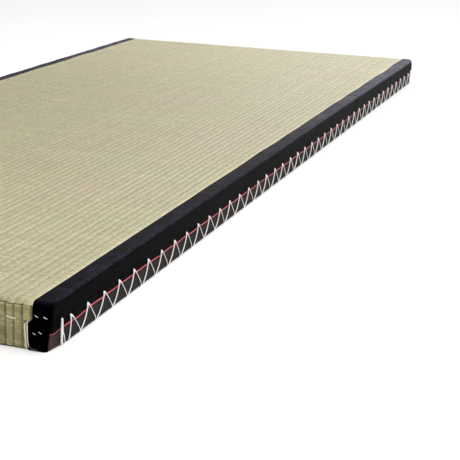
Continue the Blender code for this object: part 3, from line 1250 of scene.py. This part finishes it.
# %% The lacing's points
NEAR_FOOT = 0.43
FAR_FOOT = 0.46
FOOT_CHANGE = 0.10
LIFT_CHANGE = 0.0006
FIRST_NEAR_FEET = (0.16, 0.47, 0.50)
FIRST_APEX = (0.0015, 0.0010)
NEAR_LEG = ((0.0, 1.0), (0.10, 0.86), (0.36, 0.52), (0.66, 0.28), (0.90, 0.15))
FAR_LEG = ((0.0, 1.0), (0.23, 0.83), (0.61, 0.50), (0.93, 0.17))
LEGS_APART = 0.0006
SUNK_AT_HOLE = 0.0009
FOOT_ANGLE = math.radians(38)
FOOT_REACH = FOOT_R + GAP + LACE_D / 2
FOOT_X = SKIN_X - FOOT_R + FOOT_REACH * math.cos(FOOT_ANGLE)
FOOT_Z = FOOT_R - FOOT_REACH * math.sin(FOOT_ANGLE)


def lacing_knots(side):
    """The points that the lacing passes, from foot to hole to foot, stitch by stitch."""
    draw = random.Random(23 + side)
    out = SKIN_X + LACE_D / 2 + 0.0001
    knots = []
    for number, hole in enumerate(stitch_holes(side)):
        near = NEAR_FOOT * STITCH_PITCH * draw.uniform(1 - FOOT_CHANGE, 1 + FOOT_CHANGE)
        if number < len(FIRST_NEAR_FEET):
            near = FIRST_NEAR_FEET[number] * STITCH_PITCH
        far = FAR_FOOT * STITCH_PITCH * draw.uniform(1 - FOOT_CHANGE, 1 + FOOT_CHANGE)
        lift = draw.uniform(-LIFT_CHANGE, LIFT_CHANGE)
        if number == 0:
            hole += FIRST_APEX[0]
            lift = FIRST_APEX[1]
        legs = [(-near, *point) for point in reversed(NEAR_LEG)] + [(far, *point) for point in FAR_LEG]
        knots.append((side * FOOT_X, hole - near, FOOT_Z))
        for reach, share, rise in legs:
            y = hole + reach * share + math.copysign(LEGS_APART, reach)
            sunk = SUNK_AT_HOLE if rise == 1.0 else 0.0
            knots.append((side * (out - sunk), y, max((HOLE_HEIGHT + lift) * rise, FOOT_Z)))
        knots.append((side * FOOT_X, hole + far, FOOT_Z))
    return knots


print(f"{len(lacing_knots(1))} points, feet at {FOOT_Z * 1000:.1f} mm")

# %% The side lacing
APEX_SWELL = 1.45
FAR_LEG_THINNER = 0.34
LEG_STEPS = 3


def side_lacing(word, side):
    route = smooth_route(lacing_knots(side), LEG_STEPS)
    for place in route:
        place.z = max(place.z, FOOT_Z)
    radii = []
    for place, ahead in zip(route, route[1:] + route[-1:]):
        at_hole = ease(place.z, HOLE_HEIGHT - 0.0045, HOLE_HEIGHT - 0.001)
        falling = ease(place.z - ahead.z, 0.0002, 0.0012) * (1 - at_hole)
        radii.append(LACE_D / 2 * (1 + (APEX_SWELL - 1) * at_hole) * (1 - FAR_LEG_THINNER * falling))
    bm = bmesh.new()
    roll_string(bm, [drawn_in(place) for place in route], radii, 8)
    add_piece(f"side_string_{word}", bm, WHITE, f"side_lacing_{word}")


for word, side in SIDES:
    side_lacing(word, side)

# %% [markdown]
# ## The corner stitches
#
# The lacing starts and ends with a stitch that is wrapped round itself several times, and is twice
# as thick as the others. A straight core with a coil round it gives that look in few faces. Its
# loose tail runs down beside it to the foot.

# %% The corner stitches
WRAP_CORE = 0.0011
WRAP_STRING = 0.0008
WRAP_TURNS = 13
WRAP_STEPS = 10
STITCH_TOP = (0.9735, 0.0350)
STITCH_FOOT = (0.9727, 0.0027)
TAIL = ((0.9723, 0.0350), (0.9702, 0.0187), (0.9664, 0.0085))
TAIL_END = 0.9642
TAIL_THINNER = 0.62


def wrapped_stitch(name, side, end):
    x = side * (SKIN_X + WRAP_CORE)
    (foot_y, foot_z), (head_y, head_z) = STITCH_FOOT, STITCH_TOP
    foot = Vector((x, end * foot_y, foot_z))
    rise = Vector((x, end * head_y, head_z)) - foot
    across = Vector((1, 0, 0))
    upright = rise.normalized().cross(across)
    coil = []
    for step in range(WRAP_TURNS * WRAP_STEPS + 1):
        share = step / (WRAP_TURNS * WRAP_STEPS)
        turn = 2 * math.pi * step / WRAP_STEPS
        reach = WRAP_CORE * (0.7 + 0.3 * math.sin(math.pi * share))
        coil.append(foot + rise * share + reach * (across * math.cos(turn) + upright * math.sin(turn)))
    tail = [(x, end * y, z) for y, z in TAIL] + [(side * FOOT_X, end * TAIL_END, FOOT_Z)]
    bm = bmesh.new()
    lay_string(bm, [foot + rise * step / 8 for step in range(9)], 2 * WRAP_CORE, 8)
    lay_string(bm, coil, 2 * WRAP_STRING, 6)
    lay_string(bm, smooth_route(tail, 4), 2 * WRAP_STRING * TAIL_THINNER, 6)
    add_piece(name, bm, WHITE)


for corner, side, end in CORNERS:
    wrapped_stitch(f"wrapped_stitch_{corner}", side, end)

# %% [markdown]
# ## The stitches on the end folds
#
# Four short stitches hold each end fold. Each one comes out of the cloth, lies slanting on it and
# goes in again. A loose bit of thread, grey with dust, lies at the foot of each fold.

# %% The stitches on the end folds
DASHES = ((0.3794, 0.0436), (0.3908, 0.0430), (0.3765, 0.0215), (0.3850, 0.0238))
DASH_POINTS = ((-0.5, -0.0010), (-0.38, 0.0004), (0.0, 0.0006), (0.38, 0.0004), (0.5, -0.0010))
DASH_RUN = 0.0040
DASH_FALL = 0.0019
DASH_CHANGE = 0.0004
DASH_D = 0.0011
LOW_DASH_D = 0.0009
LOOSE_END = (
    (0.3704, -0.0006, 0.0050),
    (0.3716, 0.0006, 0.0034),
    (0.3742, 0.0010, 0.0016),
    (0.3764, 0.0008, 0.0030),
    (0.3786, 0.0010, 0.0014),
    (0.3806, 0.0004, 0.0022),
    (0.3812, -0.0006, 0.0034),
)
LOOSE_D = 0.0008


def fold_stitches(name, side, end):
    draw = random.Random(5 * side + end + 50)
    bm = bmesh.new()
    for x, z in DASHES:
        y = SKIN_Y - edge_drop(x, 0.0, CORNER_R)
        x += draw.uniform(-DASH_CHANGE, DASH_CHANGE)
        z += draw.uniform(-DASH_CHANGE, DASH_CHANGE)
        knots = []
        for share, out in DASH_POINTS:
            knots.append((side * (x + share * DASH_RUN), end * (y + out), z - share * DASH_FALL))
        lay_string(bm, smooth_route(knots, 3), DASH_D if z > HOLE_Z else LOW_DASH_D, 8)
    add_piece(name, bm, GREY)


def loose_thread(name, side, end):
    bm = bmesh.new()
    knots = [(side * x, end * (SKIN_Y + out), z) for x, out, z in LOOSE_END]
    lay_string(bm, smooth_route(knots, 5), LOOSE_D, 6)
    add_piece(name, bm, DUSTY)


for corner, side, end in CORNERS:
    fold_stitches(f"fold_stitches_{corner}", side, end)
    loose_thread(f"loose_thread_{corner}", side, end)

# %% [markdown]
# ## The end strings
#
# Along each end a cream string dips into sixteen holes. Between two holes it arches up over the
# cover, and from each hole a doubled thread runs down and under the mat. The string lies in the
# groove that it has pressed into the cover. Beside a border the rushes have closed over the arch,
# so it shows on one rib only.

# %% Arches and threads
END_STRING_D = 0.0014
ARCH_SUNK = 0.0009
IN_HOLE = 0.0020
THREAD_LOW = 0.0012
THREAD_POINTS = ((0.0, -0.0016), (0.08, 0.0), (0.35, 0.0), (0.72, 0.0), (1.0, -0.0003))
BARE_FROM = RIB_EDGE - 3 * RIB_PITCH
BARE_TO = RIB_EDGE - 2 * RIB_PITCH
UNDER_RUSHES = 0.0030


def string_depth(x, z):
    """How far out the end string's middle lies, on the pressed cover."""
    crest = GROOVE_END + RIB_RISE
    return crest + END_STRING_D * 0.35 - PRESS_DEPTH * 0.55 * pressed_by_string(x, z)


def roll_on_end(bm, knots, end, thickness, steps):
    """Adds a string through knots that each give X, Z and how far it is raised off the cover."""
    points = [(x, end * (string_depth(x, z) + raised), z) for x, z, raised in knots]
    route = smooth_route(points, steps)
    roll_string(bm, route, [thickness / 2] * len(route), 8)


def arch_knots(number):
    """The arch from one hole up over the cover and down to the next."""
    hole = HOLES[number]
    knots = [(hole, HOLE_Z, -IN_HOLE)]
    for share, rise in ARCH_POINTS:
        x = hole + share * HOLE_PITCH
        raised = -ARCH_SUNK * ease(rise, 0.6, 1.0)
        if number in (0, END_HOLES - 2) and not BARE_FROM < abs(x) < BARE_TO:
            raised = -UNDER_RUSHES
        knots.append((x, HOLE_Z + rise * ARCH_RISE, raised))
    return knots + [(hole + HOLE_PITCH, HOLE_Z, -IN_HOLE)]


def thread_knots(hole, half, start, lean):
    """One half of the doubled thread, from its hole down to the floor."""
    knots = []
    for share, raised in THREAD_POINTS:
        x = hole + half * (1 - 0.35 * share) + lean * share
        if start > HOLE_Z:
            x += 0.0022 * ease(share, 0.72, 1.0)
        knots.append((x, start + (THREAD_LOW - start) * share, raised))
    return knots


print(f"an arch rises {ARCH_RISE * 1000:.1f} mm above its holes")

# %% The end strings
THREAD_CHANGE = 0.0006
LAST_HOLES = (0, END_HOLES - 1)
LAST_SPREAD = 0.0031
LAST_LEAN = 0.0012
LAST_STARTS = (HOLE_Z - 0.0010, HOLE_Z + 0.0026)
STARTS = (HOLE_Z - 0.0010, HOLE_Z - 0.0010)


def end_string(word, end):
    bm = bmesh.new()
    draw = random.Random(70 + end)
    for number, hole in enumerate(HOLES):
        if number < END_HOLES - 1:
            roll_on_end(bm, arch_knots(number), end, END_STRING_D, 6)
        lean = THREAD_LEAN + draw.uniform(-THREAD_CHANGE, THREAD_CHANGE)
        spread = THREAD_SPREAD
        starts = STARTS
        thickness = END_STRING_D
        if number in LAST_HOLES:
            lean = LAST_LEAN
            spread = LAST_SPREAD
            starts = LAST_STARTS
            thickness *= 0.9
        for half, start in zip((-spread / 2, spread / 2), starts):
            roll_on_end(bm, thread_knots(hole, half, start, lean), end, thickness, 4)
    add_piece(f"end_string_{word}", bm, CREAM, f"end_stitching_{word}")


for word, end in ENDS:
    end_string(word, end)

# %% [markdown]
# ## Floor and light
#
# The mat lies on a plain white floor in even light. Most of it comes from a white sky, so that
# shadows stay faint, and one wide lamp from above makes the top the brightest face. The sky is
# brighter beyond the far end, like a lit backdrop in a studio, and that light gives the cloth its
# faint sheen. The floor glows a little, so that it stays white to its far edge.

# %% Floor and light
FLOOR_SIZE = 40.0
FLOOR_GLOW = 0.10
SKY = 0.44
BACKDROP = (0.18, 1.0, 0.15)
BACKDROP_EDGE = 0.78
BACKDROP_MIDDLE = 0.995
BACKDROP_LIGHT = 4.0
LAMP_POWER = 200.0
LAMP_SIZE = 5.0
LAMP_PLACE = (2.6, -1.4, 4.2)


def add_floor():
    bm = bmesh.new()
    bmesh.ops.create_grid(bm, x_segments=2, y_segments=2, size=FLOOR_SIZE / 2)
    mesh = bpy.data.meshes.new("floor")
    bm.to_mesh(mesh)
    bm.free()
    f = Finish("floor_paint", 0.9)
    tint = f.fit(f.noise(f.place(), 0.8, 2.0), 0.3, 0.7)
    paint = f.mix(tint, seen(252, 252, 251), seen(254, 254, 254))
    f.set(Emission_Color=seen(255, 255, 255), Emission_Strength=FLOOR_GLOW)
    mesh.materials.append(f.set(Base_Color=paint))
    thing = bpy.data.objects.new("floor", mesh)
    bpy.context.scene.collection.objects.link(thing)


def add_sky():
    world = bpy.data.worlds.new("sky")
    world.use_nodes = True
    tree = world.node_tree
    direction = tree.nodes.new("ShaderNodeTexCoord").outputs["Generated"]
    towards = tree.nodes.new("ShaderNodeVectorMath")
    towards.operation = "DOT_PRODUCT"
    towards.inputs[1].default_value = Vector(BACKDROP).normalized()
    tree.links.new(direction, towards.inputs[0])
    glow = tree.nodes.new("ShaderNodeMapRange")
    glow.interpolation_type = "SMOOTHSTEP"
    limits = (BACKDROP_EDGE, BACKDROP_MIDDLE, SKY, BACKDROP_LIGHT)
    for value, socket in zip(limits, list(glow.inputs)[1:5]):
        socket.default_value = value
    tree.links.new(towards.outputs["Value"], glow.inputs[0])
    background = tree.nodes["Background"]
    background.inputs["Color"].default_value = (1.0, 1.0, 1.0, 1.0)
    tree.links.new(glow.outputs[0], background.inputs["Strength"])
    bpy.context.scene.world = world


def add_lamp():
    lamp = bpy.data.lights.new("lamp", "AREA")
    lamp.energy = LAMP_POWER
    lamp.size = LAMP_SIZE
    thing = bpy.data.objects.new("lamp", lamp)
    thing.location = LAMP_PLACE
    thing.rotation_euler = (-Vector(LAMP_PLACE)).to_track_quat("-Z", "Y").to_euler()
    bpy.context.scene.collection.objects.link(thing)


add_floor()
add_sky()
add_lamp()
bpy.context.scene.view_settings.view_transform = "Standard"
print("sky", SKY, "lamp", LAMP_POWER)
